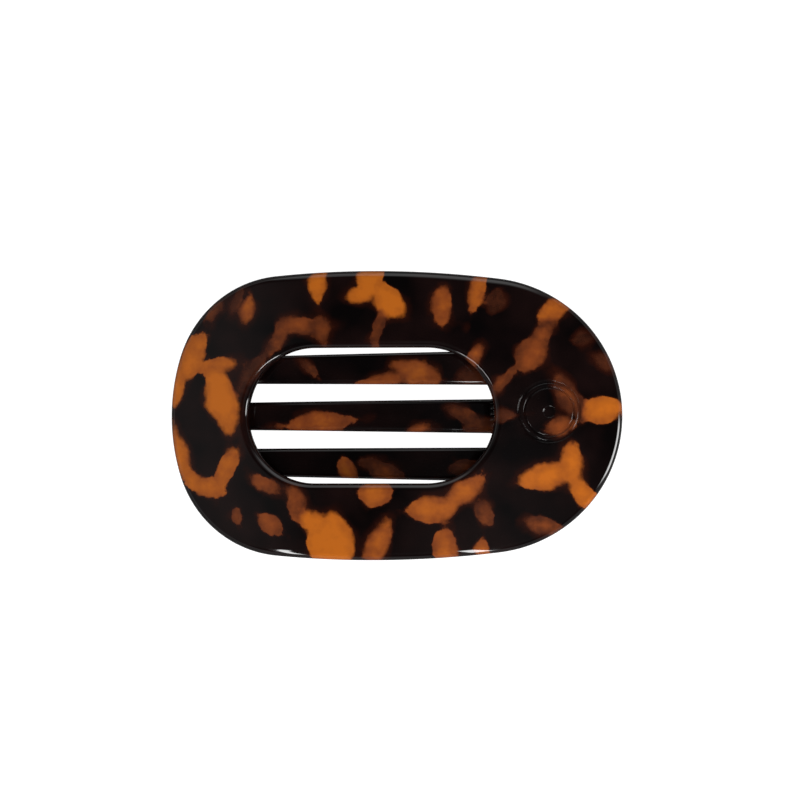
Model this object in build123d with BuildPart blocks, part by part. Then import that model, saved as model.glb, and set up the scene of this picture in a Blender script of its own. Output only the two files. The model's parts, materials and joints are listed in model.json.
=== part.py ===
"""A flat oval spring clip for hair: an arched plate with a window, over a three-tined comb sprung against it.

The pieces are modelled in the clip's own frame: X runs from the tip of the jaws (-X) to the thumb end (+X),
Y runs across, and Z points away from the head. The ends of the plate's middle surface lie at Z = 0. At the end,
every piece is turned and shifted together, so that the closed clip lies on a table as it does by itself: on the
plate's tip and on the comb's thumb tab.
"""

from build123d import *
from math import asin, atan2, cos, degrees, pi, radians, sin, sqrt, tan
import os

# Plate: outline seen from above, in mm
LENGTH = 85.4
HALF_WIDTH = 27.1
WIDEST_X = -4.1
SIDE_RADIUS = 200.0
TIP_RADIUS = 37.0
CORNER_RADIUS = 21.7

# Plate: window
WINDOW_LENGTH = 46.6
WINDOW_WIDTH = 25.4
WINDOW_X = -4.1

# Plate: section
PLATE_THICKNESS = 3.4
ARCH_RADIUS = 100.0
CROWN_RADIUS = 260.0
TOP_EDGE_ROUND = 1.5
UNDER_EDGE_ROUND = 1.2
WINDOW_TOP_ROUND = 1.3
WINDOW_UNDER_ROUND = 0.8

# Thumb mark: concentric grooves as (outer radius, inner radius), and a centre dot
MARK_X = 29.4
MARK_Y = 0.7
MARK_GROOVES = [(5.8, 5.3), (4.7, 4.35)]
MARK_DOT_RADIUS = 1.1
MARK_DEPTH = 0.3

# Hinge: each lug is given as its nearer and farther side across, and its foot from the pin's line
PIN_X = 21.0
PIN_Z = 1.0
PIN_RADIUS = 0.9
RUNNING_CLEARANCE = 0.06
KNUCKLE_RADIUS = 2.7
COMB_LUG = (4.2, 6.3)
COMB_LUG_FOOT = (-1.5, 3.2)
COMB_LUG_ROOT = 1.7
PLATE_LUG = (6.6, 8.9)
PLATE_LUG_FOOT = (-2.6, 4.2)
PLATE_LUG_ROOT = 1.0
PIN_HEAD_RADIUS = 1.6
PIN_HEAD_HEIGHT = 0.6
PIN_HEAD_ROUND = 0.48
PIN_TAIL = 0.4
PIN_TAIL_CHAMFER = 0.25

# Comb: tines, seen from above
TINE_TIP_WIDTH = 5.0
TINE_ROOT_WIDTH = 6.45
TINE_TIP_PITCH = 8.65
TINE_ROOT_PITCH = 9.15
MIDDLE_TIP_X = -36.6
OUTER_TIP_X = -34.8
GAP_END_X = 18.3
GAP_END_ROUND = 0.8
TIP_ROUND = 2.2

# Comb: base and thumb tab, seen from above
BASE_END_X = 25.0
TAB_HALF_WIDTH = 9.5
TAB_END_X = 36.5
TAB_CORNER_ROUND = 5.0
BASE_CORNER_ROUND = 1.4

# Comb: section
TIP_GAP = 0.35
TIP_THICKNESS = 1.9
TINE_RISE = 2.1
BASE_TOP_Z = -2.5
BASE_THICKNESS = 2.8
TAB_SLOPE = 20.0
TAB_END_THICKNESS = 2.2
TAB_BEND_ROUND = 30.0
COMB_TOP_ROUND = 0.85
COMB_UNDER_ROUND = 0.7

# Torsion spring
WIRE_RADIUS = 0.5
COIL_RADIUS = 2.1
WHOLE_TURNS = 5
COIL_PITCH = 1.1
LEG_LENGTH = 9.0
PLATE_LEG_SLOPE = 3.8
TAB_LEG_SLOPE = 24.0

# Ribs that keep the spring's legs in place
RIB_WIDTH = 0.8
RIB_GROOVE = 1.7
RIB_START_X = 25.2
RIB_LENGTH = 4.4
RIB_HEIGHT = 0.9

# Lengths and angles that only need to reach past everything
BEYOND = 40.0
SKIN_HALF_WIDTH = 32.0
SKIN_HALF_ANGLE = 32.0

# Two measures closer than this are the same, and rounds enough to settle on the table
SAME = 0.01
RESTING_ROUNDS = 5

HALF_LENGTH = LENGTH / 2
ARCH_RISE = ARCH_RADIUS - sqrt(ARCH_RADIUS**2 - HALF_LENGTH**2)
ARCH_CENTRE_Z = ARCH_RISE - ARCH_RADIUS
UNDERSIDE_RADIUS = ARCH_RADIUS - PLATE_THICKNESS / 2
BASE_HALF_WIDTH = TINE_ROOT_PITCH + TINE_ROOT_WIDTH / 2
COIL_TURNS = WHOLE_TURNS + (180 + PLATE_LEG_SLOPE - TAB_LEG_SLOPE) / 360
COIL_LENGTH = COIL_TURNS * COIL_PITCH
RIB_MIDDLE_X = RIB_START_X + RIB_LENGTH / 2
LEG_Y = COIL_LENGTH / 2 + (RIB_MIDDLE_X - PIN_X) * COIL_PITCH / (2 * pi * COIL_RADIUS)


def left_crossing(centre_a, radius_a, centre_b, radius_b):
    """The left-hand point of the two where a pair of circles cross."""
    ax, ay = centre_a
    dx, dy = centre_b[0] - ax, centre_b[1] - ay
    apart = sqrt(dx**2 + dy**2)
    along = (radius_a**2 - radius_b**2 + apart**2) / (2 * apart)
    across = sqrt(radius_a**2 - along**2)
    points = [
        (ax + (along * dx - side * across * dy) / apart, ay + (along * dy + side * across * dx) / apart)
        for side in (1, -1)
    ]
    return min(points)


def point_on(centre, radius, towards):
    """The point of a circle in the direction from its centre to another point."""
    dx, dy = towards[0] - centre[0], towards[1] - centre[1]
    scale = radius / sqrt(dx**2 + dy**2)
    return (centre[0] + dx * scale, centre[1] + dy * scale)


def on_arc(centre, radius, start, end):
    """An arc from start to end that bulges away from its centre."""
    middle = ((start[0] + end[0]) / 2, (start[1] + end[1]) / 2)
    return ThreePointArc(start, point_on(centre, radius, middle), end)


def outline_half():
    """Draws the upper half of the plate's outline: thumb end, side, corner and tip, each tangent to the next."""
    side = (WIDEST_X, HALF_WIDTH - SIDE_RADIUS)
    reach = HALF_LENGTH - WIDEST_X
    end_radius = (SIDE_RADIUS**2 - reach**2 - side[1] ** 2) / (2 * (SIDE_RADIUS - reach))
    end = (HALF_LENGTH - end_radius, 0.0)
    tip = (TIP_RADIUS - HALF_LENGTH, 0.0)
    corner = left_crossing(tip, TIP_RADIUS - CORNER_RADIUS, side, SIDE_RADIUS - CORNER_RADIUS)

    end_joins_side = point_on(side, SIDE_RADIUS, end)
    side_joins_corner = point_on(side, SIDE_RADIUS, corner)
    corner_joins_tip = point_on(tip, TIP_RADIUS, corner)
    on_arc(end, end_radius, (HALF_LENGTH, 0.0), end_joins_side)
    on_arc(side, SIDE_RADIUS, end_joins_side, side_joins_corner)
    on_arc(corner, CORNER_RADIUS, side_joins_corner, corner_joins_tip)
    on_arc(tip, TIP_RADIUS, corner_joins_tip, (-HALF_LENGTH, 0.0))


def skin(low, high):
    """The arched and crowned layer between two offsets from the plate's middle surface."""
    across = SKIN_HALF_WIDTH
    turn = radians(-SKIN_HALF_ANGLE)
    start = Plane(origin=(0, 0, ARCH_CENTRE_Z), x_dir=(0, 1, 0), z_dir=(cos(turn), 0, -sin(turn)))
    crown_centre = ARCH_RADIUS - CROWN_RADIUS
    edge_low = crown_centre + sqrt((CROWN_RADIUS + low) ** 2 - across**2)
    edge_high = crown_centre + sqrt((CROWN_RADIUS + high) ** 2 - across**2)
    with BuildPart() as layer:
        with BuildSketch(start):
            with BuildLine():
                ThreePointArc((-across, edge_high), (0, ARCH_RADIUS + high), (across, edge_high))
                Line((across, edge_high), (across, edge_low))
                ThreePointArc((across, edge_low), (0, ARCH_RADIUS + low), (-across, edge_low))
                Line((-across, edge_low), (-across, edge_high))
            make_face()
        revolve(axis=Axis((0, 0, ARCH_CENTRE_Z), (0, 1, 0)), revolution_arc=2 * SKIN_HALF_ANGLE)
    return layer.part


def underside_z(x):
    """Height of the plate's underside on its centreline."""
    return ARCH_CENTRE_Z + sqrt(UNDERSIDE_RADIUS**2 - x**2)


def tab_top_z(x):
    """Height of the thumb tab's upper face, away from its bend."""
    return BASE_TOP_Z - (x - PIN_X) * tan(radians(TAB_SLOPE))


def lug_pair(foot_z, foot, span, bore_radius):
    """Two lugs, one each side of the middle: a bored knuckle about the pin that runs to a straight foot."""
    inner, outer = span
    foot_start, foot_end = foot
    with BuildPart() as pair:
        for side_start in (-outer, inner):
            with BuildSketch(Plane.XZ.offset(-side_start)):
                with BuildLine():
                    Polyline(
                        (PIN_X - KNUCKLE_RADIUS, PIN_Z),
                        (PIN_X + foot_start, foot_z),
                        (PIN_X + foot_end, foot_z),
                        (PIN_X + KNUCKLE_RADIUS, PIN_Z),
                        close=True,
                    )
                make_face()
                with Locations((PIN_X, PIN_Z)):
                    Circle(KNUCKLE_RADIUS)
                    Circle(bore_radius, mode=Mode.SUBTRACT)
            extrude(amount=-(outer - inner))
    return pair.part


def rib_pair(centre_y, face_z, face_slope):
    """Two low ribs with a groove between them for a spring leg, standing on a face that falls along X."""
    offset = (RIB_GROOVE + RIB_WIDTH) / 2
    with BuildPart() as pair:
        with Locations(Location((RIB_MIDDLE_X, centre_y, face_z), (0, face_slope, 0))):
            with Locations((0, -offset, 0), (0, offset, 0)):
                Box(RIB_LENGTH, RIB_WIDTH, 2 * RIB_HEIGHT)
    return pair.part


def side_edges(part, upper):
    """The edges where a part's upright sides meet its upper faces, or its lower ones."""
    chosen = []
    for face in part.faces():
        if abs(face.normal_at().Z) < SAME:
            level = face.center().Z
            for edge in face.edges():
                upright = abs((edge % 0.5).Z) > 1 - SAME
                if not upright and (edge.center().Z > level) == upper:
                    chosen.append(edge)
    return chosen


# The thumb mark's grooves follow the plate's surface, so they are cut from a layer of it.
with BuildPart() as mark:
    add(skin(PLATE_THICKNESS / 2 - MARK_DEPTH, PLATE_THICKNESS / 2 + 1))
    with BuildSketch(Plane.XY):
        with Locations((MARK_X, MARK_Y)):
            for outer_radius, inner_radius in MARK_GROOVES:
                Circle(outer_radius)
                Circle(inner_radius, mode=Mode.SUBTRACT)
            Circle(MARK_DOT_RADIUS)
    extrude(amount=BEYOND, mode=Mode.INTERSECT)


# Plate: the upper jaw, with two hinge lugs and a pair of spring ribs under the thumb end.
with BuildPart() as plate:
    add(skin(-PLATE_THICKNESS / 2, PLATE_THICKNESS / 2))
    with BuildSketch(Plane.XY):
        with BuildLine():
            outline_half()
            mirror(about=Plane.XZ)
        make_face()
        with Locations((WINDOW_X, 0)):
            SlotOverall(WINDOW_LENGTH, WINDOW_WIDTH, mode=Mode.SUBTRACT)
    extrude(amount=BEYOND, both=True, mode=Mode.INTERSECT)

    def broad_faces():
        """The plate's upper and lower faces, the lower one first."""
        return plate.faces().sort_by(SortBy.AREA)[-2:].sort_by(Axis.Z)

    fillet(broad_faces()[-1].outer_wire().edges(), TOP_EDGE_ROUND)
    fillet(broad_faces()[-1].inner_wires()[0].edges(), WINDOW_TOP_ROUND)
    fillet(broad_faces()[0].outer_wire().edges(), UNDER_EDGE_ROUND)
    fillet(broad_faces()[0].inner_wires()[0].edges(), WINDOW_UNDER_ROUND)
    add(mark.part, mode=Mode.SUBTRACT)

    add(lug_pair(underside_z(PIN_X) + PLATE_LUG_ROOT, PLATE_LUG_FOOT, PLATE_LUG, PIN_RADIUS))
    add(rib_pair(-LEG_Y, underside_z(RIB_MIDDLE_X), degrees(asin(RIB_MIDDLE_X / UNDERSIDE_RADIUS))))
plate.part.label = "window_plate"


# Comb: the lower jaw, three tines on a base that carries the other hinge lugs and ends in the thumb tab.
tip_top = (MIDDLE_TIP_X, underside_z(MIDDLE_TIP_X) - TIP_GAP)
tip_low = (MIDDLE_TIP_X, tip_top[1] - TIP_THICKNESS)
bend_top = (PIN_X, BASE_TOP_Z)
bend_low = (PIN_X, BASE_TOP_Z - BASE_THICKNESS)
tab_top = (TAB_END_X, tab_top_z(TAB_END_X))
tab_low = (TAB_END_X, tab_top[1] - TAB_END_THICKNESS / cos(radians(TAB_SLOPE)))

with BuildPart() as comb:
    with BuildSketch(Plane.XZ):
        with BuildLine():
            ThreePointArc(
                tip_top,
                ((tip_top[0] + bend_top[0]) / 2, (tip_top[1] + bend_top[1]) / 2 + TINE_RISE),
                bend_top,
            )
            Polyline(bend_top, tab_top, tab_low, bend_low)
            ThreePointArc(
                bend_low,
                ((tip_low[0] + bend_low[0]) / 2, (tip_low[1] + bend_low[1]) / 2 + TINE_RISE),
                tip_low,
            )
            Line(tip_low, tip_top)
        section = make_face()
        fillet(section.vertices().filter_by(lambda vertex: abs(vertex.X - PIN_X) < SAME), TAB_BEND_ROUND)
    extrude(amount=BEYOND, both=True)

    with BuildSketch(Plane.XY) as plan:
        for row in (-1, 0, 1):
            tip_x = MIDDLE_TIP_X if row == 0 else OUTER_TIP_X
            with BuildLine():
                Polyline(
                    (tip_x, row * TINE_TIP_PITCH - TINE_TIP_WIDTH / 2),
                    (tip_x, row * TINE_TIP_PITCH + TINE_TIP_WIDTH / 2),
                    (GAP_END_X, row * TINE_ROOT_PITCH + TINE_ROOT_WIDTH / 2),
                    (GAP_END_X, row * TINE_ROOT_PITCH - TINE_ROOT_WIDTH / 2),
                    close=True,
                )
            make_face()
        with Locations(((GAP_END_X + BASE_END_X) / 2, 0)):
            Rectangle(BASE_END_X - GAP_END_X, 2 * BASE_HALF_WIDTH)
        with Locations(((BASE_END_X + TAB_END_X) / 2, 0)):
            Rectangle(TAB_END_X - BASE_END_X, 2 * TAB_HALF_WIDTH)

        def corners_at(x, half_width=BEYOND):
            """The plan's corners at one X, out to a half width."""
            return plan.vertices().filter_by(
                lambda corner: abs(corner.X - x) < SAME and abs(corner.Y) < half_width
            )

        fillet(corners_at(MIDDLE_TIP_X) + corners_at(OUTER_TIP_X), TIP_ROUND)
        fillet(corners_at(GAP_END_X, TINE_ROOT_PITCH), GAP_END_ROUND)
        fillet(corners_at(BASE_END_X), BASE_CORNER_ROUND)
        fillet(corners_at(TAB_END_X), TAB_CORNER_ROUND)
    extrude(amount=BEYOND, both=True, mode=Mode.INTERSECT)

    fillet(side_edges(comb.part, upper=True), COMB_TOP_ROUND)
    fillet(side_edges(comb.part, upper=False), COMB_UNDER_ROUND)

    add(lug_pair(BASE_TOP_Z - COMB_LUG_ROOT, COMB_LUG_FOOT, COMB_LUG, PIN_RADIUS + RUNNING_CLEARANCE))
    add(rib_pair(LEG_Y, tab_top_z(RIB_MIDDLE_X), TAB_SLOPE))
comb.part.label = "tined_comb"


# Pin: pressed into the plate's lugs, with a domed head at one end and a chamfer at the other.
with BuildPart() as pin:
    with BuildSketch(Plane.XZ.offset(PLATE_LUG[1])):
        with Locations((PIN_X, PIN_Z)):
            Circle(PIN_RADIUS)
    extrude(amount=-(2 * PLATE_LUG[1] + PIN_TAIL))
    chamfer(pin.faces().sort_by(Axis.Y)[-1].edges(), PIN_TAIL_CHAMFER)
    with BuildSketch(Plane.XZ.offset(PLATE_LUG[1])):
        with Locations((PIN_X, PIN_Z)):
            Circle(PIN_HEAD_RADIUS)
    extrude(amount=PIN_HEAD_HEIGHT)
    fillet(pin.faces().sort_by(Axis.Y)[0].edges(), PIN_HEAD_ROUND)
pin.part.label = "hinge_pin"


# Spring: one wire, straight along the plate, wound about the pin, and straight again along the tab.
with BuildLine() as winding:
    Helix(COIL_PITCH, COIL_LENGTH, COIL_RADIUS, lefthand=True)
around_pin = Plane(
    origin=(PIN_X, -COIL_LENGTH / 2, PIN_Z),
    x_dir=(sin(radians(PLATE_LEG_SLOPE)), 0, cos(radians(PLATE_LEG_SLOPE))),
    z_dir=(0, 1, 0),
)
coil = around_pin.location * winding.edges()[0]
with BuildPart() as spring:
    with BuildLine() as wire:
        add(coil)
        Line(coil @ 0 - (coil % 0) * LEG_LENGTH, coil @ 0)
        Line(coil @ 1, coil @ 1 + (coil % 1) * LEG_LENGTH)
    path = wire.wires()[0]
    with BuildSketch(Plane(origin=path @ 0, z_dir=path % 0)):
        Circle(WIRE_RADIUS)
    sweep(path=path)
spring.part.label = "torsion_spring"


def resting_turn():
    """Turn about Y, in degrees, that brings the plate's tip and the thumb tab's end down to one level."""
    turn = 0.0
    for _ in range(RESTING_ROUNDS):
        tip_low = (Rot(0, turn, 0) * plate.part).bounding_box().min.Z
        tab_low = (Rot(0, turn, 0) * comb.part).bounding_box().min.Z
        turn -= degrees(atan2(tip_low - tab_low, TAB_END_X + HALF_LENGTH))
    return turn


pieces = [plate.part, comb.part, pin.part, spring.part]
settled = Rot(0, resting_turn(), 0)
box = Compound(children=[settled * piece for piece in pieces]).bounding_box()
settled = Pos(-box.center().X, -box.center().Y, -box.min.Z) * settled
for piece in pieces:
    piece.move(settled)

hinge_line = settled * Location((PIN_X, 0, PIN_Z))
print("turned by", settled.orientation, "hinge line at", hinge_line.position)
print("overall", box.size)

os.makedirs("parts", exist_ok=True)
export_step(plate.part, "parts/window_plate.step")
export_step(comb.part, "parts/tined_comb.step")
export_step(pin.part, "parts/hinge_pin.step")
export_step(spring.part, "parts/torsion_spring.step")
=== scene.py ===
"""Looks of a tortoiseshell spring hair clip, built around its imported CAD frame.

Every piece is made in the clip's own frame, in millimetres: X from the tip of the jaws to the thumb end,
Y across and Z away from the head. settle() then turns it onto the table and into metres, about the hinge line
that the frame gives.
"""

import json
import math

import bpy
import numpy as np
from mathutils import Matrix, Quaternion, Vector
from mathutils.geometry import delaunay_2d_cdt


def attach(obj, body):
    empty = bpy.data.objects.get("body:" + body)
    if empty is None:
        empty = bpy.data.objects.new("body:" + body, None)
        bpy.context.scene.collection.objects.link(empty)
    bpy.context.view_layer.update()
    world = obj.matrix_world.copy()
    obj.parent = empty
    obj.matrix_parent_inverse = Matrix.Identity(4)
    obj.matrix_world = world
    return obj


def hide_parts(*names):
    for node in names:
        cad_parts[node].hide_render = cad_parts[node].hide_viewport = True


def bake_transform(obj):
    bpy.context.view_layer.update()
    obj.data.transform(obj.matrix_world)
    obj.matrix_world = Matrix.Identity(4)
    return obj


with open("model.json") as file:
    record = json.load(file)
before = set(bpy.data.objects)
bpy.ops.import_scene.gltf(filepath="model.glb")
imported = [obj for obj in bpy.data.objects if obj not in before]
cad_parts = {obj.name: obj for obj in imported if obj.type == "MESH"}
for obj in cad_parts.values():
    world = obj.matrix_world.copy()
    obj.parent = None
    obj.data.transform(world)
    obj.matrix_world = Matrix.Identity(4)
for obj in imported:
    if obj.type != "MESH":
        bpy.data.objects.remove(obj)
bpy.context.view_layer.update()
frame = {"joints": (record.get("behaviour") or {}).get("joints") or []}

# The clip's own frame against the row frame
HINGE_MM = (21.0, 1.0)
TILT = math.radians(6.6515)
hinge_m = frame["joints"][0]["pos_m"]

# Plate
HALF_LENGTH, HALF_WIDTH = 42.7, 27.1
WIDEST_X, SIDE_R, TIP_R, CORNER_R = -4.1, 200.0, 37.0, 21.7
WINDOW_X, WINDOW_HALF_LENGTH, WINDOW_HALF_WIDTH = -4.1, 23.3, 12.7
ARCH_R, CROWN_R, HALF_PLATE = 100.0, 260.0, 1.7
ARCH_CENTRE_Z = -math.sqrt(ARCH_R**2 - HALF_LENGTH**2)
MARK_X, MARK_Y = 29.4, 0.7
MARK_GROOVES = ((5.3, 5.8), (4.35, 4.7), (-1.0, 1.1))
MARK_DEPTH, MARK_WALL = 0.3, 0.14
# Within MARK_REACH the mesh has rings of points, not a grid: at the groove walls and at MARK_FILL
MARK_REACH, MARK_FILL = 6.8, (2.6, 3.6, 6.3)

# Comb
COMB_TIP_X = -36.6
TIP_Z = ARCH_CENTRE_Z + math.sqrt((ARCH_R - HALF_PLATE) ** 2 - COMB_TIP_X**2) - 0.35
BEND_X, BEND_TOP, BEND_LOW = 21.0, -2.5, -5.3
TIP_THICK, TAB_THICK = 1.9, 2.2
TINE_RISE, TAB_SLOPE, TAB_END_X = 2.1, math.tan(math.radians(20.0)), 36.5
BEND_EASE, BEND_REACH = 0.3, 8.0

# Radii of the upper edge and of the lower one
RIM_ROUNDS, WINDOW_ROUNDS, COMB_ROUNDS = (1.5, 1.2), (1.3, 0.8), (0.85, 0.7)

# Hinge and spring
KNUCKLE_R, PIN_R, BORE_PLAY = 2.7, 0.9, 0.06
PLATE_LUG, COMB_LUG = (6.6, 8.9), (4.2, 6.3)
PLATE_LUG_FOOT, COMB_LUG_FOOT = (-2.4, 3.9), (-1.5, 3.0)
PLATE_LUG_SINK, COMB_LUG_SINK = 0.4, 1.2
FOOT_ROUND, LUG_ROUND, BORE_ROUND = 0.3, 0.25, 0.12
HEAD_R, HEAD_ROUND, HEAD_TALL = 1.6, 0.5, 0.6
TAIL_OUT, TAIL_CHAMFER = 0.4, 0.22
WIRE_R, COIL_R, COIL_PITCH, LEG = 0.5, 2.1, 1.1, 9.0
PLATE_LEG_SLOPE, TAB_LEG_SLOPE = math.radians(3.8), math.radians(24.0)
TURNS = 5 + (math.pi + PLATE_LEG_SLOPE - TAB_LEG_SLOPE) / (2 * math.pi)

# The ribs each side of a spring leg, and how far apart they stand
RIB_X, RIB_GAP = 27.4, 2.5
RIB_Y = TURNS * COIL_PITCH / 2 + (RIB_X - HINGE_MM[0]) * COIL_PITCH / (2 * math.pi * COIL_R)


# ---------------------------------------------------------------- where the amber lies

# Lobes of amber, listed one by one: middle x and y, length and width in mm, lean in degrees, and brightness.
# A flake is one lobe or a few that run together, and noise gives it its ragged edge.
PLATE_LOBES = [
    # tip end, upper side
    (-29.5, 22, 4.5, 2, 70, 0.35), (-27.5, 20, 5, 3, 80, 0.75), (-34, 20, 4, 1.5, 45, 0.5),
    (-14, 25, 8.5, 3.5, 90, 1),
    # the large flake at the middle of the upper side, and its tail
    (-4, 26, 7, 5, 90, 1), (-6, 22.5, 5, 3, 10, 1), (-0.5, 21.5, 8, 5, -48, 1), (-2.5, 16, 8, 2, 75, 0.5),
    # an arch over the window's upper corner
    (-17, 17, 9, 3, 0, 0.55), (-21.5, 14.5, 8, 3, 55, 0.55), (-13, 16, 5, 2.5, 100, 0.55),
    (-26.5, 8.5, 10, 2, 52, 0.3),
    # the large flake at the tip
    (-38.5, 11, 11, 5, 65, 0.9), (-34, 9.5, 9, 3, 8, 0.9), (-32.5, 3, 14, 6, -72, 1),
    (-41.5, 6, 8, 3.5, 80, 1),
    # tip end, lower side
    (-41, -7.5, 11, 3.5, 102, 0.9), (-31.5, -10, 9, 3.5, 65, 0.85), (-35.5, -13.5, 7.5, 3.5, -12, 0.85),
    (-38.5, -12, 5, 3, 115, 0.85), (-29.5, -19, 4, 2, 100, 0.5), (-23, -20.5, 6, 3.5, -40, 0.6),
    (-24, -13, 6.5, 3, -30, 0.6),
    # the large flake at the lower edge, and what lies about it
    (-18, -16.5, 8, 3.5, -72, 0.55), (-11.5, -24, 12, 9, 82, 1), (-14.5, -20, 8, 4, -25, 1),
    (-3, -14.5, 7, 5, 0, 0.75), (-2.5, -24, 9, 4, 60, 0.75),
    # thumb end, lower side
    (7.5, -17.5, 10, 5, 5, 0.75), (14, -14, 10, 4, 40, 0.75), (17.5, -18.5, 5, 3, -60, 0.45),
    (10, -24.5, 7, 5, 80, 0.7), (17, -25, 4, 2.5, 80, 0.8),
    (29, -11.5, 11, 5, 12, 0.9), (33.5, -9, 8, 4, 85, 0.9), (36, -15, 10, 3.5, -52, 0.9),
    (28, -20.5, 7, 3.5, -12, 0.45),
    # about the thumb mark
    (39, 1, 8, 5, 12, 0.9), (33, 3.5, 10, 4, -60, 0.38), (31.5, -2, 6, 3, 15, 0.55), (20.5, 0, 5, 2, 0, 0.35),
    # thumb end, upper side
    (9.5, 20.5, 8, 4, 88, 0.7), (16, 23.5, 9.5, 3, 78, 0.85), (19.5, 21.5, 5, 3, 75, 0.25),
    (30.5, 20, 8, 4, 35, 0.8), (28, 15, 8, 3.5, 65, 0.5), (26, 11.5, 8, 5.5, 55, 0.55),
    (21, 6.5, 8, 2, 50, 0.5),
    (15.5, 11, 5, 2.5, 55, 0.55), (35.5, 14.5, 4, 2, 15, 0.2), (39.5, 10, 4, 2.5, -40, 0.35),
]
COMB_LOBES = [
    (-18, 10, 5, 2, -45, 0.4), (-5, 7, 11, 3, 12, 0.65), (3.5, 8.5, 11, 5, -20, 0.7), (14, 7.5, 6, 4, 0, 0.3),
    (-16, -0.5, 14, 4, 5, 0.65), (3.5, -2, 6, 3, 0, 0.65), (12, 0.5, 6, 3, -25, 0.4), (16, -2, 8, 4, 0, 0.4),
    (-10.5, -10, 7, 3, 115, 0.75), (-3.5, -10, 9, 4, -30, 0.4), (12.5, -9.5, 7, 3, 10, 0.35),
]
LOBE_POWER = 1.6
LOBE_JOIN = 0.2
LEAN_THROUGH_SHEET = np.array([0.35, -0.2])
SHEET_DEPTH = 4.0


# Colours, as linear light
AMBER = [
    (0.0, (0.010, 0.003, 0.002)),
    (0.3, (0.055, 0.014, 0.006)),
    (0.6, (0.185, 0.043, 0.010)),
    (1.0, (0.42, 0.108, 0.010)),
]
GROUND = [(0.35, (0.0014, 0.0008, 0.0009)), (0.7, (0.0070, 0.0028, 0.0026))]
HALO = (0.036, 0.006, 0.002)


# ---------------------------------------------------------------- from the clip's frame to the row frame


def settle(points):
    """Points of the clip's own frame, in mm, as points of the row frame, in metres."""
    p = np.asarray(points, float)
    dx, dz = p[:, 0] - HINGE_MM[0], p[:, 2] - HINGE_MM[1]
    c, s = math.cos(TILT), math.sin(TILT)
    out = np.empty_like(p)
    out[:, 0] = hinge_m[0] + (dx * c - dz * s) / 1000
    out[:, 1] = hinge_m[1] + p[:, 1] / 1000
    out[:, 2] = hinge_m[2] + (dx * s + dz * c) / 1000
    return out


def settle_ways(ways):
    """Unit vectors of the clip's own frame, in the row frame."""
    w = np.asarray(ways, float)
    c, s = math.cos(TILT), math.sin(TILT)
    out = np.empty_like(w)
    out[:, 0] = w[:, 0] * c - w[:, 2] * s
    out[:, 1] = w[:, 1]
    out[:, 2] = w[:, 0] * s + w[:, 2] * c
    return out / np.linalg.norm(out, axis=1)[:, None]


class Shell:
    """Vertices, their normals and faces, gathered piece by piece and made into one object."""

    def __init__(self):
        self.points, self.normals, self.faces = [], [], []

    def add(self, points, normals, faces):
        first = len(self.points)
        self.points.extend(map(tuple, points))
        self.normals.extend(map(tuple, normals))
        self.faces.extend(tuple(first + i for i in face) for face in faces)

    def make(self, name, material, lobes=()):
        mesh = bpy.data.meshes.new(name)
        mesh.from_pydata(settle(self.points).tolist(), [], self.faces)
        mesh.validate(clean_customdata=False)
        if lobes:
            depth, tone = flake_field(np.array(self.points), lobes)
            mesh.attributes.new("flake_depth", "FLOAT", "POINT").data.foreach_set("value", depth)
            mesh.attributes.new("flake_tone", "FLOAT", "POINT").data.foreach_set("value", tone)
        mesh.polygons.foreach_set("use_smooth", [True] * len(mesh.polygons))
        mesh.normals_split_custom_set_from_vertices(settle_ways(self.normals).tolist())
        mesh.materials.append(material)
        obj = bpy.data.objects.new(name, mesh)
        bpy.context.scene.collection.objects.link(obj)
        return obj


# ---------------------------------------------------------------- flakes


def depth_in(plan, lobe):
    """About how far inside a lobe each point lies, in mm, and less than nothing outside it."""
    x, y, length, width, lean, _ = lobe
    c, s = math.cos(math.radians(lean)), math.sin(math.radians(lean))
    away = plan - np.array([x, y])
    along = np.abs(away[:, 0] * c + away[:, 1] * s) / (length / 2)
    across = np.abs(away[:, 1] * c - away[:, 0] * s) / (width / 2)
    reach = (along**LOBE_POWER + across**LOBE_POWER) ** (1 / LOBE_POWER)
    return (1 - reach) * width / 2


def flake_field(points, lobes):
    """Depth inside the flakes, and their brightness. Lobes run together, and lean through the sheet."""
    x, y, z = points.T
    below = z - shell_height(HALF_PLATE)(x, y) * (z > 0)
    plan = points[:, :2] + np.clip(below, -SHEET_DEPTH, 0)[:, None] * LEAN_THROUGH_SHEET
    depths = np.array([depth_in(plan, lobe) for lobe in lobes])
    tones = np.array([lobe[-1] for lobe in lobes])
    deepest = depths.max(axis=0)
    share = np.exp(np.maximum((depths - deepest) / LOBE_JOIN, -30))
    total = share.sum(axis=0)
    return deepest + LOBE_JOIN * np.log(total), (tones[:, None] * share).sum(axis=0) / total


# ---------------------------------------------------------------- flat outlines


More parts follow.
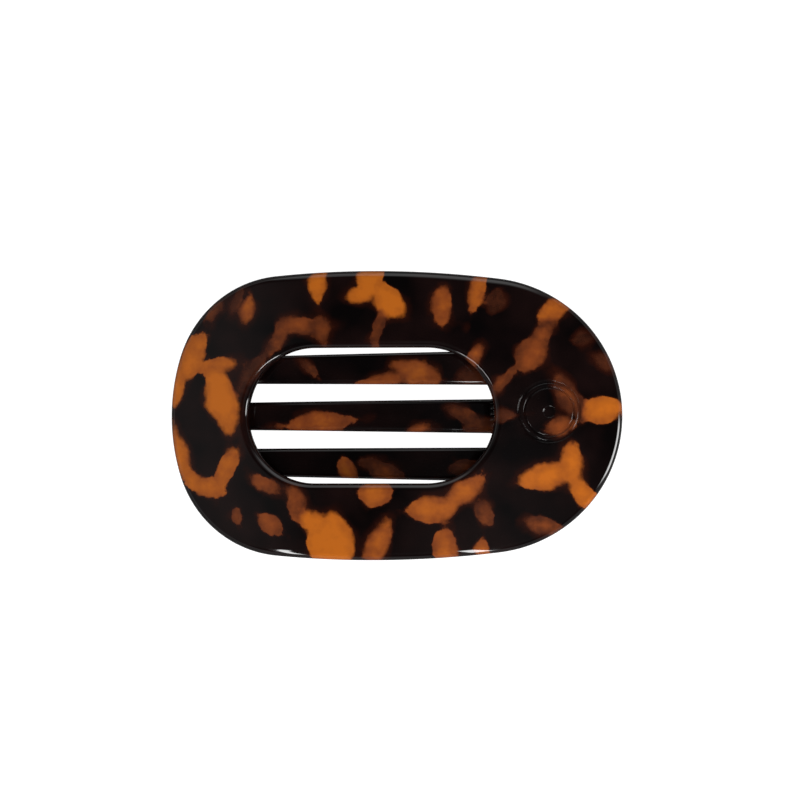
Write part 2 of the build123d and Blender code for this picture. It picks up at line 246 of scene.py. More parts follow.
def outline(corners, step):
    """Points and outward normals along a closed outline of straight runs and rounded corners (x, y, radius).

    Outer outlines run anticlockwise and holes clockwise, so the normal is always on the right.
    """
    points, normals = [], []
    count = len(corners)
    ends = []
    for i in range(count):
        before, here, after = (np.array(corners[(i + k) % count][:2], float) for k in (-1, 0, 1))
        way_in = (here - before) / np.linalg.norm(here - before)
        way_out = (after - here) / np.linalg.norm(after - here)
        turn = math.atan2(way_in[0] * way_out[1] - way_in[1] * way_out[0], way_in @ way_out)
        cut = corners[i][2] * math.tan(abs(turn) / 2)
        ends.append((here - way_in * cut, here + way_out * cut, way_in, turn, corners[i][2]))
    for i in range(count):
        start, stop, way_in, turn, radius = ends[i]
        heading = math.atan2(way_in[1], way_in[0])
        pieces = max(2, int(math.ceil(radius * abs(turn) / min(step, 0.25 * radius + 0.02)))) if radius else 0
        side = np.array([-way_in[1], way_in[0]]) * math.copysign(radius, turn)
        centre = start + side
        if pieces:
            for k in range(pieces + 1):
                angle = heading + turn * k / pieces
                normal = np.array([math.sin(angle), -math.cos(angle)])
                points.append(centre + normal * math.copysign(radius, turn))
                normals.append(normal)
        else:
            angle = heading + turn / 2
            points.append(start)
            normals.append(np.array([math.sin(angle), -math.cos(angle)]))
        following = ends[(i + 1) % count][0]
        run = following - stop
        length = np.linalg.norm(run)
        if length > 1e-6:
            way = run / length
            for k in range(1, int(math.ceil(length / step))):
                points.append(stop + run * k / math.ceil(length / step))
                normals.append(np.array([way[1], -way[0]]))
    points, normals = np.array(points), np.array(normals)
    gap = np.linalg.norm(points - np.roll(points, 1, axis=0), axis=1)
    keep = gap > 1e-5
    return points[keep], normals[keep]


def plate_outline(step):
    """The plate's outer outline: thumb end, long sides, corners and tip, each arc tangent to the next."""
    side = (WIDEST_X, HALF_WIDTH - SIDE_R)
    reach = HALF_LENGTH - WIDEST_X
    end_r = (SIDE_R**2 - reach**2 - side[1] ** 2) / (2 * (SIDE_R - reach))
    end = (HALF_LENGTH - end_r, 0.0)
    tip = (TIP_R - HALF_LENGTH, 0.0)
    a, b = TIP_R - CORNER_R, SIDE_R - CORNER_R
    dx, dy = side[0] - tip[0], side[1] - tip[1]
    apart = math.hypot(dx, dy)
    along = (a**2 - b**2 + apart**2) / (2 * apart)
    across = math.sqrt(a**2 - along**2)
    corner = min(
        (tip[0] + (along * dx - s * across * dy) / apart, tip[1] + (along * dy + s * across * dx) / apart)
        for s in (1, -1)
    )

    def bearing(centre, towards):
        return math.atan2(towards[1] - centre[1], towards[0] - centre[0])

    joins = [0.0, bearing(side, end), bearing(side, corner), bearing(tip, corner), math.pi]
    points, normals = [], []
    centres, radii = (end, side, corner, tip), (end_r, SIDE_R, CORNER_R, TIP_R)
    for centre, radius, start, stop in zip(centres, radii, joins, joins[1:]):
        pieces = int(math.ceil(radius * (stop - start) / step))
        for k in range(pieces):
            angle = start + (stop - start) * k / pieces
            normals.append((math.cos(angle), math.sin(angle)))
            points.append((centre[0] + radius * math.cos(angle), centre[1] + radius * math.sin(angle)))
    points, normals = np.array(points), np.array(normals)
    tip_point, tip_normal = np.array([[-HALF_LENGTH, 0.0]]), np.array([[-1.0, 0.0]])
    mirror = np.array([1.0, -1.0])
    points = np.vstack([points, tip_point, points[:0:-1] * mirror])
    normals = np.vstack([normals, tip_normal, normals[:0:-1] * mirror])
    return points, normals


# ---------------------------------------------------------------- slabs with rounded edges


def inside(points, loop):
    """Which points lie inside a closed loop."""
    x, y = points[:, 0][:, None], points[:, 1][:, None]
    x0, y0 = loop[:, 0], loop[:, 1]
    x1, y1 = np.roll(x0, -1), np.roll(y0, -1)
    with np.errstate(divide="ignore", invalid="ignore"):
        cross = (y0 > y) != (y1 > y)
        hit = cross & (x < (x1 - x0) * (y - y0) / (y1 - y0) + x0)
    return hit.sum(axis=1) % 2 == 1


def cap(loops, extra):
    """Triangles that fill the first loop less the others, through some extra points.

    Their indices run over the loops' points and then the extra ones.
    """
    flat = np.vstack(loops + ([extra] if len(extra) else []))
    edges, first = [], 0
    for loop in loops:
        edges += [(first + k, first + (k + 1) % len(loop)) for k in range(len(loop))]
        first += len(loop)
    found, _, triangles, origin, _, _ = delaunay_2d_cdt([Vector(p) for p in flat], edges, [], 0, 1e-7)
    found = np.array([tuple(p) for p in found])
    triangles = np.array(triangles)
    middles = found[triangles].mean(axis=1)
    keep = inside(middles, loops[0])
    for loop in loops[1:]:
        keep &= ~inside(middles, loop)
    source = np.array([o[0] if o else -1 for o in origin])
    triangles = source[triangles[keep]]
    return [tuple(t) for t in triangles if min(t) >= 0]


def grid_inside(loops, spacing, holes=()):
    """A staggered grid of points that keeps clear of the loops and of round holes (x, y, radius)."""
    low, high = loops[0].min(axis=0), loops[0].max(axis=0)
    rows = np.arange(low[1], high[1], spacing * 0.866)
    columns = np.arange(low[0], high[0], spacing)
    grid = np.array([(x + (row % 2) * spacing / 2, y) for row, y in enumerate(rows) for x in columns])
    keep = inside(grid, loops[0])
    for loop in loops[1:]:
        keep &= ~inside(grid, loop)
    grid = grid[keep]
    for loop in loops:
        near = np.array([np.min((loop[:, 0] - p[0]) ** 2 + (loop[:, 1] - p[1]) ** 2) for p in grid])
        grid = grid[near > (0.55 * spacing) ** 2]
    for x, y, radius in holes:
        grid = grid[(grid[:, 0] - x) ** 2 + (grid[:, 1] - y) ** 2 > radius**2]
    return grid


def slope(height, plan):
    """How fast a height function rises along X and along Y."""
    d = 0.01
    dx = (height(plan[:, 0] + d, plan[:, 1]) - height(plan[:, 0] - d, plan[:, 1])) / (2 * d)
    dy = (height(plan[:, 0], plan[:, 1] + d) - height(plan[:, 0], plan[:, 1] - d)) / (2 * d)
    return dx, dy


def slab(shell, loops, top, low, rounds, spacing, extra=None, holes=(), turn=None, arcs=6):
    """Adds a closed slab from outlines with normals, top and low height functions, and each loop's rounds.

    turn maps the slab's own (u, v, w) to the clip's frame, where the slab isn't lying flat.
    """
    points, normals, faces = [], [], []

    def ring(plan, z, n):
        first = len(points)
        points.extend(np.column_stack([plan, z]))
        normals.extend(n)
        return first

    def face_normals(plan, height, up):
        dx, dy = slope(height, plan)
        return up * np.column_stack([-dx, -dy, np.ones(len(plan))])

    def rounded(edge, out, height, radius, up):
        """Rings from a sloping face round to the upright edge: plans, heights and normals, face first."""
        inset = edge - out * radius
        for _ in range(3):
            dx, dy = slope(height, inset)
            rise = dx * out[:, 0] + dy * out[:, 1]
            start = np.arctan2(1.0, -up * rise)
            inset = edge - out * (radius * (1 - np.cos(start)))[:, None]
        centre = height(inset[:, 0], inset[:, 1]) - up * radius * np.sin(start)
        along = np.column_stack([-out[:, 1], out[:, 0]])
        drift = dx * along[:, 0] + dy * along[:, 1]
        rings = []
        for k in range(arcs + 1):
            angle = start * (1 - k / arcs)
            across, upward = np.cos(angle), up * np.sin(angle)
            plan = edge - out * (radius * (1 - across))[:, None]
            n = np.column_stack([out * across[:, None] - along * (drift * upward)[:, None], upward])
            rings.append((plan, centre + radius * upward, n))
        return rings

    inner = {}
    for index, ((edge, out), (top_round, low_round)) in enumerate(zip(loops, rounds)):
        count = len(edge)
        upper_side = rounded(edge, out, top, top_round, 1.0)
        lower_side = rounded(edge, out, low, low_round, -1.0)
        rings = [ring(*one) for one in upper_side + lower_side[::-1]]
        for upper, lower in zip(rings, rings[1:]):
            faces += [
                (upper + k, lower + k, lower + (k + 1) % count, upper + (k + 1) % count) for k in range(count)
            ]
        inner[index] = (rings[0], rings[-1], upper_side[0][0], lower_side[0][0])

    for level, height, up in ((0, top, 1.0), (1, low, -1.0)):
        edges = [inner[index][2 + level] for index in range(len(loops))]
        middle = grid_inside(edges, spacing, holes if level == 0 else ())
        if level == 0 and extra is not None:
            middle = np.vstack([middle, extra])
        triangles = cap(edges, middle)
        lookup = []
        for index in range(len(loops)):
            lookup += [inner[index][level] + k for k in range(len(edges[index]))]
        if len(middle):
            first = ring(middle, height(middle[:, 0], middle[:, 1]), face_normals(middle, height, up))
            lookup += [first + k for k in range(len(middle))]
        for a, b, c in triangles:
            faces.append((lookup[a], lookup[b], lookup[c]) if up > 0 else (lookup[a], lookup[c], lookup[b]))

    points, normals = np.array(points), np.array(normals)
    if turn is not None:
        points, normals = turn(points), turn(normals)
    shell.add(points, normals, faces)


def tube(shell, path, radius, sides=16):
    """Adds a round wire along a path, with domed ends."""
    path = np.array(path, float)
    ways = np.gradient(path, axis=0)
    ways /= np.linalg.norm(ways, axis=1)[:, None]
    side = np.cross(ways[0], [0.0, 1.0, 0.0])
    side /= np.linalg.norm(side)
    points, normals, faces, rings = [], [], [], []

    def ring(centre, way, side, size, lean):
        other = np.cross(way, side)
        rings.append(len(points))
        for k in range(sides):
            angle = 2 * math.pi * k / sides
            out = side * math.cos(angle) + other * math.sin(angle)
            points.append(centre + out * size)
            normals.append(out * math.cos(lean) + way * math.sin(lean))

    dome = [math.radians(a) for a in (80, 60, 40, 20)]
    for lean in dome:
        ring(path[0] - ways[0] * radius * 0.5 * math.sin(lean), ways[0], side, radius * math.cos(lean), -lean)
    for centre, way in zip(path, ways):
        side = side - way * (side @ way)
        side /= np.linalg.norm(side)
        ring(centre, way, side, radius, 0.0)
    for lean in reversed(dome):
        centre = path[-1] + ways[-1] * radius * 0.5 * math.sin(lean)
        ring(centre, ways[-1], side, radius * math.cos(lean), lean)
    for a, b in zip(rings, rings[1:]):
        faces += [(a + k, a + (k + 1) % sides, b + (k + 1) % sides, b + k) for k in range(sides)]
    faces.append(tuple(reversed(range(rings[0], rings[0] + sides))))
    faces.append(tuple(range(rings[-1], rings[-1] + sides)))
    shell.add(points, normals, faces)


def on_edge(points):
    """Turns a slab's (u, v, w) so that u is X, v is Z and w is -Y: upright, across the clip."""
    return np.column_stack([points[:, 0], -points[:, 2], points[:, 1]])


def circle(x, y, radius, step=0.35):
    """A round hole's outline, clockwise."""
    r = radius
    return outline([(x - r, y - r, r), (x - r, y + r, r), (x + r, y + r, r), (x + r, y - r, r)], step)


def level(value):
    """A constant height function."""
    return lambda x, y: np.full(np.shape(x), float(value))


# ---------------------------------------------------------------- plate


def shell_height(offset):
    """The crowned arch at an offset from the plate's middle surface."""

    def height(x, y):
        radius = ARCH_R - CROWN_R + np.sqrt((CROWN_R + offset) ** 2 - y**2)
        return ARCH_CENTRE_Z + np.sqrt(radius**2 - x**2)

    return height


def plate_top(x, y):
    """The plate's upper face, with the medallion's grooves."""
    r = np.hypot(x - MARK_X, y - MARK_Y)
    depth = np.zeros_like(r)
    for inner, outer in MARK_GROOVES:
        rise = np.clip((r - inner) / MARK_WALL + 0.5, 0, 1) * np.clip((outer - r) / MARK_WALL + 0.5, 0, 1)
        depth = np.maximum(depth, rise * rise * (3 - 2 * rise))
    return shell_height(HALF_PLATE)(x, y) - MARK_DEPTH * depth


def medallion_points():
    """Rings of points that follow the medallion's groove walls."""
    radii, spacing = list(MARK_FILL), 0.3
    for inner, outer in MARK_GROOVES:
        for wall in (inner, outer):
            radii += [wall + k * MARK_WALL / 4 for k in (-3, -2, -1, 0, 1, 2, 3)]
    points = [(MARK_X, MARK_Y)]
    for radius in sorted(r for r in radii if r > spacing):
        count = max(16, int(2 * math.pi * radius / spacing))
        turns = [2 * math.pi * k / count for k in range(count)]
        points += [(MARK_X + radius * math.cos(t), MARK_Y + radius * math.sin(t)) for t in turns]
    return np.array(points)


def lug(shell, foot_z, foot_x, span, bore_r):
    """Adds two bored knuckles, one each side of the middle, that run to a straight foot."""
    x, z, r = HINGE_MM[0], HINGE_MM[1], KNUCKLE_R
    far = -r if foot_z > z else r
    # The two rounds of a knuckle may meet, but not overlap, where its sides lean
    leans = [math.atan2(r - abs(foot - x), abs(foot_z - z - far)) for foot in foot_x]
    bend = min(r, 2 * r / sum(math.tan(math.pi / 4 + lean / 2) for lean in leans))
    corners = [(x - r, z + far, bend), (x + r, z + far, bend)]
    corners += [(foot, foot_z, FOOT_ROUND) for foot in reversed(foot_x)]
    if foot_z < z:
        corners.reverse()
    edge, hole = outline(corners, 0.5), circle(x, z, bore_r, 0.15)
    for start in (-span[1], span[0]):
        stop = start + span[1] - span[0]
        rounds = [(LUG_ROUND, LUG_ROUND), (BORE_ROUND, BORE_ROUND)]
        slab(shell, [edge, hole], level(-start), level(-stop), rounds, 0.8, turn=on_edge, arcs=3)


def rib(shell, x, y, z, fall):
    """Adds a low rib beside a spring leg, on a face that falls along X."""
    half, width, reach, corner, edge_round = 2.2, 0.4, 0.9, 0.3, 0.2

    def turned(points):
        c, s = math.cos(fall), math.sin(fall)
        out = np.empty_like(points)
        out[:, 0] = points[:, 0] * c + points[:, 2] * s
        out[:, 1] = points[:, 1]
        out[:, 2] = -points[:, 0] * s + points[:, 2] * c
        return out

    ends = ((-half, -width), (half, -width), (half, width), (-half, width))
    edge = outline([(*end, corner) for end in ends], 0.4)
    part = Shell()
    slab(part, [edge], level(reach), level(-reach), [(edge_round, edge_round)], 1.0, arcs=3)
    points = turned(np.array(part.points)) + np.array([x, y, z])
    shell.add(points, turned(np.array(part.normals)), part.faces)


def build_plate(material):
    shell = Shell()
    x0, x1 = WINDOW_X - WINDOW_HALF_LENGTH, WINDOW_X + WINDOW_HALF_LENGTH
    w = WINDOW_HALF_WIDTH
    window = outline([(x0, -w, w), (x0, w, w), (x1, w, w), (x1, -w, w)], 0.6)
    loops = [plate_outline(0.7), window]
    slab(
        shell, loops, plate_top, shell_height(-HALF_PLATE), [RIM_ROUNDS, WINDOW_ROUNDS], 1.0,
        extra=medallion_points(), holes=[(MARK_X, MARK_Y, MARK_REACH)], arcs=10,
    )
    under = shell_height(-HALF_PLATE)
    under_z = float(under(np.array([HINGE_MM[0]]), np.zeros(1))[0])
    foot_x = [HINGE_MM[0] + foot for foot in PLATE_LUG_FOOT]
    lug(shell, under_z + PLATE_LUG_SINK, foot_x, PLATE_LUG, PIN_R)
    fall = math.asin(RIB_X / (ARCH_R - HALF_PLATE))
    rib_z = float(under(np.array([RIB_X]), np.zeros(1))[0])
    for side in (-RIB_GAP / 2, RIB_GAP / 2):
        rib(shell, RIB_X, -RIB_Y + side, rib_z, fall)
    return shell.make("plate_visual", material, PLATE_LOBES)


# ---------------------------------------------------------------- comb


def comb_height(tip_z, bend_z, end_z):
    """One long face of the comb: an arc along the tines, an easy bend, and the tab's straight fall."""
    x0, x1 = COMB_TIP_X, BEND_X
    half = math.hypot(x1 - x0, bend_z - tip_z) / 2
    radius = (half**2 + TINE_RISE**2) / (2 * TINE_RISE)
    lean = math.atan2(bend_z - tip_z, x1 - x0)
    xm, zm = (x0 + x1) / 2, (tip_z + bend_z) / 2
    cx = xm + math.sin(lean) * (radius - TINE_RISE)
    cz = zm - math.cos(lean) * (radius - TINE_RISE)

    def height(x, y):
        arc = cz + np.sqrt(radius**2 - (np.minimum(x, BEND_X + BEND_REACH) - cx) ** 2)
        line = bend_z + (x - BEND_X) * (end_z - bend_z) / (TAB_END_X - BEND_X)
        h = np.clip(0.5 + 0.5 * (line - arc) / BEND_EASE, 0, 1)
        return line * (1 - h) + arc * h - BEND_EASE * h * (1 - h)

    return height


comb_top = comb_height(TIP_Z, BEND_TOP, BEND_TOP - (TAB_END_X - BEND_X) * TAB_SLOPE)
comb_low = comb_height(
    TIP_Z - TIP_THICK,
    BEND_LOW,
    BEND_TOP - (TAB_END_X - BEND_X) * TAB_SLOPE - TAB_THICK / math.cos(math.atan(TAB_SLOPE)),
)


def comb_outline(step):
    """Three long tines, the base they grow from and the thumb tab."""
    tip_half, root_half, tip_pitch, root_pitch = 2.5, 3.225, 8.65, 9.15
    tip_round, gap_round, base_round, tab_round = 2.2, 0.8, 1.4, 5.0
    root, base_end, tab_half, base_half = 18.3, 25.0, 9.5, root_pitch + root_half
    side_tip = -34.8
    tips = (side_tip, COMB_TIP_X, side_tip)
    corners = [(TAB_END_X, -tab_half, tab_round), (TAB_END_X, tab_half, tab_round)]
    corners += [(base_end, tab_half, base_round), (base_end, base_half, base_round)]
    corners += [(root, base_half, 0.0)]
    for row, tip in zip((1, 0, -1), tips):
        if row < 1:
            corners.append((root, row * root_pitch + root_half, gap_round))
        corners.append((tip, row * tip_pitch + tip_half, tip_round))
        corners.append((tip, row * tip_pitch - tip_half, tip_round))
        if row > -1:
            corners.append((root, row * root_pitch - root_half, gap_round))
    corners += [(root, -base_half, 0.0)]
    corners += [(base_end, -base_half, base_round), (base_end, -tab_half, base_round)]
    return outline(corners, step)


def build_comb(material):
    shell = Shell()
    slab(shell, [comb_outline(0.5)], comb_top, comb_low, [COMB_ROUNDS], 0.9, arcs=8)
    foot_x = [HINGE_MM[0] + foot for foot in COMB_LUG_FOOT]
    lug(shell, BEND_TOP - COMB_LUG_SINK, foot_x, COMB_LUG, PIN_R + BORE_PLAY)
    z = BEND_TOP - (RIB_X - BEND_X) * TAB_SLOPE
    for side in (-RIB_GAP / 2, RIB_GAP / 2):
        rib(shell, RIB_X, RIB_Y + side, z, math.atan(TAB_SLOPE))
    return shell.make("comb_visual", material, COMB_LOBES)


# ---------------------------------------------------------------- pin and spring


def build_pin(material):
    """A turned pin along Y: domed head at -Y, body, chamfer at +Y."""
    shell = Shell()
    seat_y = -PLATE_LUG[1]
    head_y, tail_y = seat_y - HEAD_TALL, PLATE_LUG[1] + TAIL_OUT
    # Rings set this close to an edge keep its shading crisp
    hold, chamfer = 0.01, TAIL_CHAMFER
    profile = [(2 * hold, head_y, -90)]
    for k in range(1, 9):
        a = math.radians(90 * k / 8)
        radius = HEAD_R - HEAD_ROUND + HEAD_ROUND * math.sin(a)
        profile.append((radius, head_y + HEAD_ROUND * (1 - math.cos(a)), math.degrees(a) - 90))
    profile += [(HEAD_R, seat_y - 2 * hold, 0), (HEAD_R - 2 * hold, seat_y, 45), (PIN_R, seat_y, 90)]
    profile += [(PIN_R, seat_y + hold, 0), (PIN_R, tail_y - chamfer - 3 * hold, 0)]
    profile += [(PIN_R - 2 * hold, tail_y - chamfer, 45), (PIN_R - chamfer - hold, tail_y - 2 * hold, 45)]
    profile += [(PIN_R - chamfer - 4 * hold, tail_y, 80), (2 * hold, tail_y, 90)]
    sides, points, normals, faces = 40, [], [], []
    for radius, y, lean in profile:
        for k in range(sides):
            a = 2 * math.pi * k / sides
            points.append((HINGE_MM[0] + radius * math.cos(a), y, HINGE_MM[1] + radius * math.sin(a)))
            out = math.cos(math.radians(lean))
            normals.append((out * math.cos(a), math.sin(math.radians(lean)), out * math.sin(a)))
    for row in range(len(profile) - 1):
        a, b = row * sides, (row + 1) * sides
        faces += [(a + k, b + k, b + (k + 1) % sides, a + (k + 1) % sides) for k in range(sides)]
    faces.append(tuple(range(sides)))
    last = (len(profile) - 1) * sides
    faces.append(tuple(reversed(range(last, last + sides))))
    shell.add(points, normals, faces)
    return shell.make("pin_visual", material)


def build_spring(material):
    """One wire: a leg under the plate, the winding, and a leg on the tab."""
    shell = Shell()
    length = TURNS * COIL_PITCH
    start = math.pi / 2 - PLATE_LEG_SLOPE

    def winding(t):
        angle = start + 2 * math.pi * TURNS * t
        x, z = HINGE_MM[0] + COIL_R * math.cos(angle), HINGE_MM[1] + COIL_R * math.sin(angle)
        return np.array([x, length * (t - 0.5), z])

    def way(t):
        d = winding(t + 1e-5) - winding(t - 1e-5)
        return d / np.linalg.norm(d)

    steps, turns_steps = 12, 220
    path = [winding(0) - way(0) * LEG * (1 - k / steps) for k in range(steps)]
    path += [winding(k / turns_steps) for k in range(turns_steps + 1)]
    path += [winding(1) + way(1) * LEG * k / steps for k in range(1, steps + 1)]
    tube(shell, path, WIRE_R)
    return shell.make("spring_visual", material)


# ---------------------------------------------------------------- materials


class Nodes:
    """The nodes of a material, a light or the world, added one call at a time."""

    def __init__(self, owner):
        owner.use_nodes = True
        self.tree = owner.node_tree

    def add(self, kind, values=(), **settings):
        """Adds a node. values go to its inputs by name or number, as links or as constants."""
        node = self.tree.nodes.new(kind)
        for key, value in settings.items():
            setattr(node, key, value)
        for key, value in dict(values).items():
            self.put(node.inputs[key], value)
        return node

    def put(self, socket, value):
        if isinstance(value, bpy.types.NodeSocket):
            self.tree.links.new(value, socket)
        else:
            socket.default_value = value

    def sum(self, operation, *values, clamp=False):
        node = self.add("ShaderNodeMath", operation=operation, use_clamp=clamp)
        for socket, value in zip(node.inputs, values):
            self.put(socket, value)
        return node.outputs[0]

    def step(self, value, low, high, to_low=0.0, to_high=1.0):
        values = {"Value": value, "From Min": low, "From Max": high, "To Min": to_low, "To Max": to_high}
        return self.add("ShaderNodeMapRange", values, interpolation_type="SMOOTHSTEP").outputs[0]

    def mix(self, share, one, other):
        node = self.add("ShaderNodeMix", data_type="RGBA")
        colours = [socket for socket in node.inputs if socket.type == "RGBA"]
        for socket, value in ((node.inputs[0], share), (colours[0], one), (colours[1], other)):
            self.put(socket, (*value, 1.0) if isinstance(value, tuple) else value)
        return next(socket for socket in node.outputs if socket.type == "RGBA")

    def ramp(self, value, stops):
        node = self.add("ShaderNodeValToRGB", {"Fac": value})
        points = node.color_ramp.elements
        while len(points) < len(stops):
            points.new(0.5)
        for point, (position, colour) in zip(points, stops):
            point.position = position
            point.color = (*colour, 1.0)
        return node.outputs[0]


class Paint(Nodes):
    """A new material: its principled shader, and noise in the object's own coordinates."""

    def __init__(self, name):
        self.material = bpy.data.materials.new(name)
        super().__init__(self.material)
        self.inputs = self.tree.nodes["Principled BSDF"].inputs
        self.place = self.add("ShaderNodeTexCoord").outputs["Object"]

    def noise(self, period_mm, detail=2.0, rough=0.5, shift=0.0, stretch=(1.0, 1.0, 1.0)):
        """Noise about a half, with lumps about period_mm across."""
        scale = [1000 / period_mm * k for k in stretch]
        values = {"Vector": self.place, "Scale": scale, "Location": [shift] * 3}
        mapped = self.add("ShaderNodeMapping", values).outputs[0]
        values = {"Vector": mapped, "Scale": 1.0, "Detail": detail, "Roughness": rough}
        return self.add("ShaderNodeTexNoise", values).outputs[0]

    def bump(self, height, reach_mm):
        node = self.add("ShaderNodeBump", {"Height": height, "Distance": reach_mm / 1000})
        self.put(self.inputs["Normal"], node.outputs[0])


def tortoise(name):
    """Polished acetate: amber flakes with ragged, partly blurred edges in a black-brown ground."""
    n = Paint(name)
    depth = n.add("ShaderNodeAttribute", attribute_name="flake_depth").outputs["Fac"]
    tone = n.add("ShaderNodeAttribute", attribute_name="flake_tone").outputs["Fac"]
    wave = n.noise(4.5, 2.0, 0.55)
    fray = n.noise(1.3, 3.0, 0.6, shift=11.0)
    depth = n.sum("MULTIPLY_ADD", n.sum("SUBTRACT", wave, 0.5), 1.7, depth)
    depth = n.sum("MULTIPLY_ADD", n.sum("SUBTRACT", fray, 0.5), 0.8, depth)
    soft = n.step(n.noise(6.0, 1.0, 0.5, shift=23.0), 0.4, 0.62, 0.12, 0.5)
    edge = n.sum("DIVIDE", depth, soft)
    inside_flake = n.step(edge, -1.0, 1.0)
    halo = n.step(edge, -3.2, 1.0)
    cloud = n.noise(3.2, 3.0, 0.6, shift=37.0)
    streak = n.noise(2.0, 2.0, 0.5, shift=41.0, stretch=(0.35, 1.0, 1.0))
    light = n.sum("MULTIPLY_ADD", n.sum("SUBTRACT", cloud, 0.5), 0.55, tone)
    light = n.sum("MULTIPLY_ADD", n.sum("SUBTRACT", streak, 0.5), 0.2, light)
    light = n.sum("ADD", n.step(depth, 0.0, 2.2, -0.12, 0.06), light)
    amber = n.ramp(light, AMBER)
    ground = n.ramp(n.noise(9.0, 2.0, 0.5, shift=53.0), GROUND)
    smoked = n.mix(n.sum("MULTIPLY", halo, 0.6), ground, HALO)
    colour = n.mix(inside_flake, smoked, amber)
    n.put(n.inputs["Base Color"], colour)
    n.inputs["IOR"].default_value = 1.5
    haze = n.noise(7.0, 3.0, 0.6, shift=61.0)
    n.put(n.inputs["Roughness"], n.step(haze, 0.3, 0.75, 0.035, 0.095))
    n.bump(n.noise(5.0, 1.0, 0.4, shift=71.0), 0.012)
    return n.material


def drawn_metal(name, light, dark, along):
    """Drawn steel: fine lines along the wire or around the pin, with a few darker marks."""
    n = Paint(name)
    lines = n.noise(0.25, 3.0, 0.6, stretch=along)
    marks = n.noise(1.5, 3.0, 0.6, shift=19.0)
    colour = n.mix(n.step(lines, 0.3, 0.7), dark, light)
    n.put(n.inputs["Base Color"], n.mix(n.step(marks, 0.55, 0.75, 0.0, 0.5), colour, dark))
    n.inputs["Metallic"].default_value = 1.0
    n.put(n.inputs["Roughness"], n.step(lines, 0.25, 0.75, 0.22, 0.42))
    n.bump(lines, 0.01)
    return n.material


# ---------------------------------------------------------------- assembly

tortoise_plate = tortoise("tortoise_plate")
tortoise_comb = tortoise("tortoise_comb")
steel = drawn_metal("pin_steel", (0.62, 0.61, 0.58), (0.33, 0.32, 0.31), (1.0, 0.2, 1.0))
spring_steel = drawn_metal("spring_wire", (0.58, 0.58, 0.57), (0.24, 0.24, 0.25), (1.0, 0.6, 1.0))

plate = build_plate(tortoise_plate)
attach(plate, "plate")
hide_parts("window_plate")

comb = build_comb(tortoise_comb)
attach(comb, "comb")
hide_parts("tined_comb")

pin = build_pin(steel)
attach(pin, "plate")
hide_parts("hinge_pin")

spring = build_spring(spring_steel)
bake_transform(spring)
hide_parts("torsion_spring")


# ---------------------------------------------------------------- stage

FLOOR_HALF = 0.6
PAPER_WHITE = 1.02
corners = [(x * FLOOR_HALF, y * FLOOR_HALF, 0) for x, y in ((-1, -1), (1, -1), (1, 1), (-1, 1))]
floor_mesh = bpy.data.meshes.new("floor")
floor_mesh.from_pydata(corners, [], [(0, 1, 2, 3)])
floor = bpy.data.objects.new("floor", floor_mesh)
bpy.context.scene.collection.objects.link(floor)

# White to the camera, and dark to the light that bounces up under the clip
paper = Paint("floor_paper")
seen = paper.add("ShaderNodeLightPath").outputs["Is Camera Ray"]
grain = paper.noise(2.0, 3.0, 0.6)
paper.put(paper.inputs["Base Color"], paper.mix(grain, (0.16, 0.16, 0.16), (0.20, 0.20, 0.20)))
paper.put(paper.inputs["Emission Strength"], paper.sum("MULTIPLY", seen, PAPER_WHITE))
paper.inputs["Emission Color"].default_value = (1.0, 1.0, 1.0, 1.0)
paper.inputs["Roughness"].default_value = 0.9
paper.inputs["Specular IOR Level"].default_value = 0.0
floor_mesh.materials.append(paper.material)


def towards(azimuth, elevation):
    """The way to a light, with azimuth from -Y towards +X and elevation from the table, in degrees."""
    a, e = math.radians(azimuth), math.radians(elevation)
    return Vector((math.sin(a) * math.cos(e), -math.cos(a) * math.cos(e), math.sin(e)))


world = bpy.data.worlds.new("studio")
bpy.context.scene.world = world
sky = Nodes(world)
way_out = sky.add("ShaderNodeTexCoord").outputs["Generated"]


def glow(azimuth, elevation, reach, radiance):
    """A soft patch of light in the surroundings, with no edge that shows in the gloss."""
    values = {0: way_out, 1: towards(azimuth, elevation)}
    near = sky.add("ShaderNodeVectorMath", values, operation="DOT_PRODUCT").outputs["Value"]
    return sky.step(near, math.cos(math.radians(reach)), 1.0, 0.0, radiance)


# The surroundings are paler low down, which the rims and the steel reflect
height = sky.add("ShaderNodeSeparateXYZ", {0: way_out}).outputs["Z"]
total = sky.step(height, 0.4, 0.1, 0.02, 0.42)
for patch in (glow(-88, 26, 40, 0.15), glow(25, 60, 34, 0.11), glow(170, 34, 32, 0.45)):
    total = sky.sum("ADD", total, patch)
seen = sky.add("ShaderNodeLightPath").outputs["Is Camera Ray"]
total = sky.sum("MAXIMUM", total, sky.sum("MULTIPLY", seen, PAPER_WHITE))
sky.put(world.node_tree.nodes["Background"].inputs["Strength"], total)
world.node_tree.nodes["Background"].inputs["Color"].default_value = (1.0, 1.0, 1.0, 1.0)

BOX_FADE = 0.3


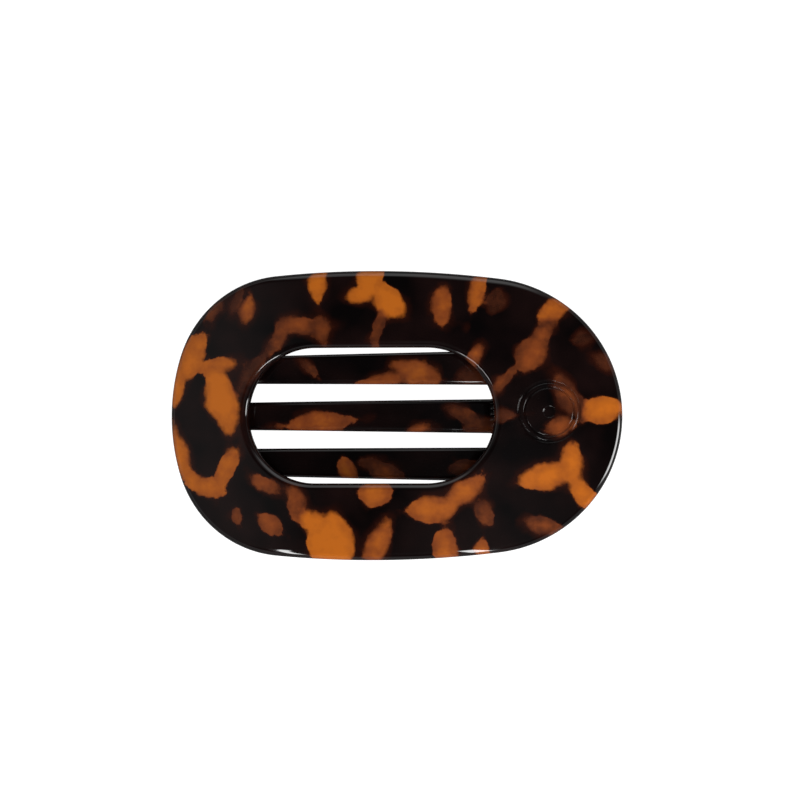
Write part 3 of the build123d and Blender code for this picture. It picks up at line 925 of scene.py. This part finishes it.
def softbox(name, azimuth, elevation, distance, size, power, lean=0.0, shows=True):
    """An area light aimed at the clip, bright in the middle and fading to its edges."""
    light = bpy.data.lights.new(name, "AREA")
    light.shape = "RECTANGLE"
    light.size, light.size_y = size
    light.energy = power
    box = Nodes(light)
    across = box.add("ShaderNodeSeparateXYZ", {0: box.add("ShaderNodeNewGeometry").outputs["Parametric"]})
    fades = []
    for way in across.outputs[:2]:
        from_middle = box.sum("ABSOLUTE", box.sum("SUBTRACT", way, 0.5))
        fades.append(box.step(from_middle, 0.5, BOX_FADE))
    box.put(light.node_tree.nodes["Emission"].inputs["Strength"], box.sum("MULTIPLY", *fades))
    obj = bpy.data.objects.new(name, light)
    bpy.context.scene.collection.objects.link(obj)
    way = towards(azimuth, elevation)
    obj.location = way * distance + Vector((0, 0, 0.012))
    turn = way.to_track_quat("Z", "Y") @ Quaternion((0, 0, 1), math.radians(lean))
    obj.rotation_euler = turn.to_euler()
    obj.visible_glossy = shows


softbox("front_left", -41, 31, 0.5, (0.035, 0.50), 1.0, lean=40)
softbox("front_right", 12, 31, 0.5, (0.045, 0.50), 1.3)
softbox("right", 80, 14, 0.5, (0.20, 0.30), 2.4)
softbox("back", 180, 22, 0.6, (0.9, 0.55), 1.3)
softbox("fill", 0, 70, 0.8, (0.9, 0.9), 8.5, shows=False)

# ---------------------------------------------------------------- camera

CAMERA_DISTANCE = 1.0
CAMERA_LENS = 239.7
CAMERA_LEAN_X, CAMERA_LEAN_Y = math.radians(-1.1), math.radians(0.9)
CAMERA_AIM = Vector((0.0006, 0.00295, 0.012))
camera_data = bpy.data.cameras.new("camera")
camera_data.lens = CAMERA_LENS
camera_data.sensor_width = 36.0
camera = bpy.data.objects.new("camera", camera_data)
bpy.context.scene.collection.objects.link(camera)
away = Vector((math.sin(CAMERA_LEAN_X), -math.sin(CAMERA_LEAN_Y), 0.0))
away.z = math.sqrt(1 - away.length_squared)
right = (Vector((1.0, 0.0, 0.0)) - away * away.x).normalized()
camera.matrix_world = Matrix.Translation(CAMERA_AIM + away * CAMERA_DISTANCE) @ Matrix(
    (right, away.cross(right), away)
).transposed().to_4x4()
bpy.context.scene.camera = camera
bpy.context.scene.view_settings.view_transform = "Standard"
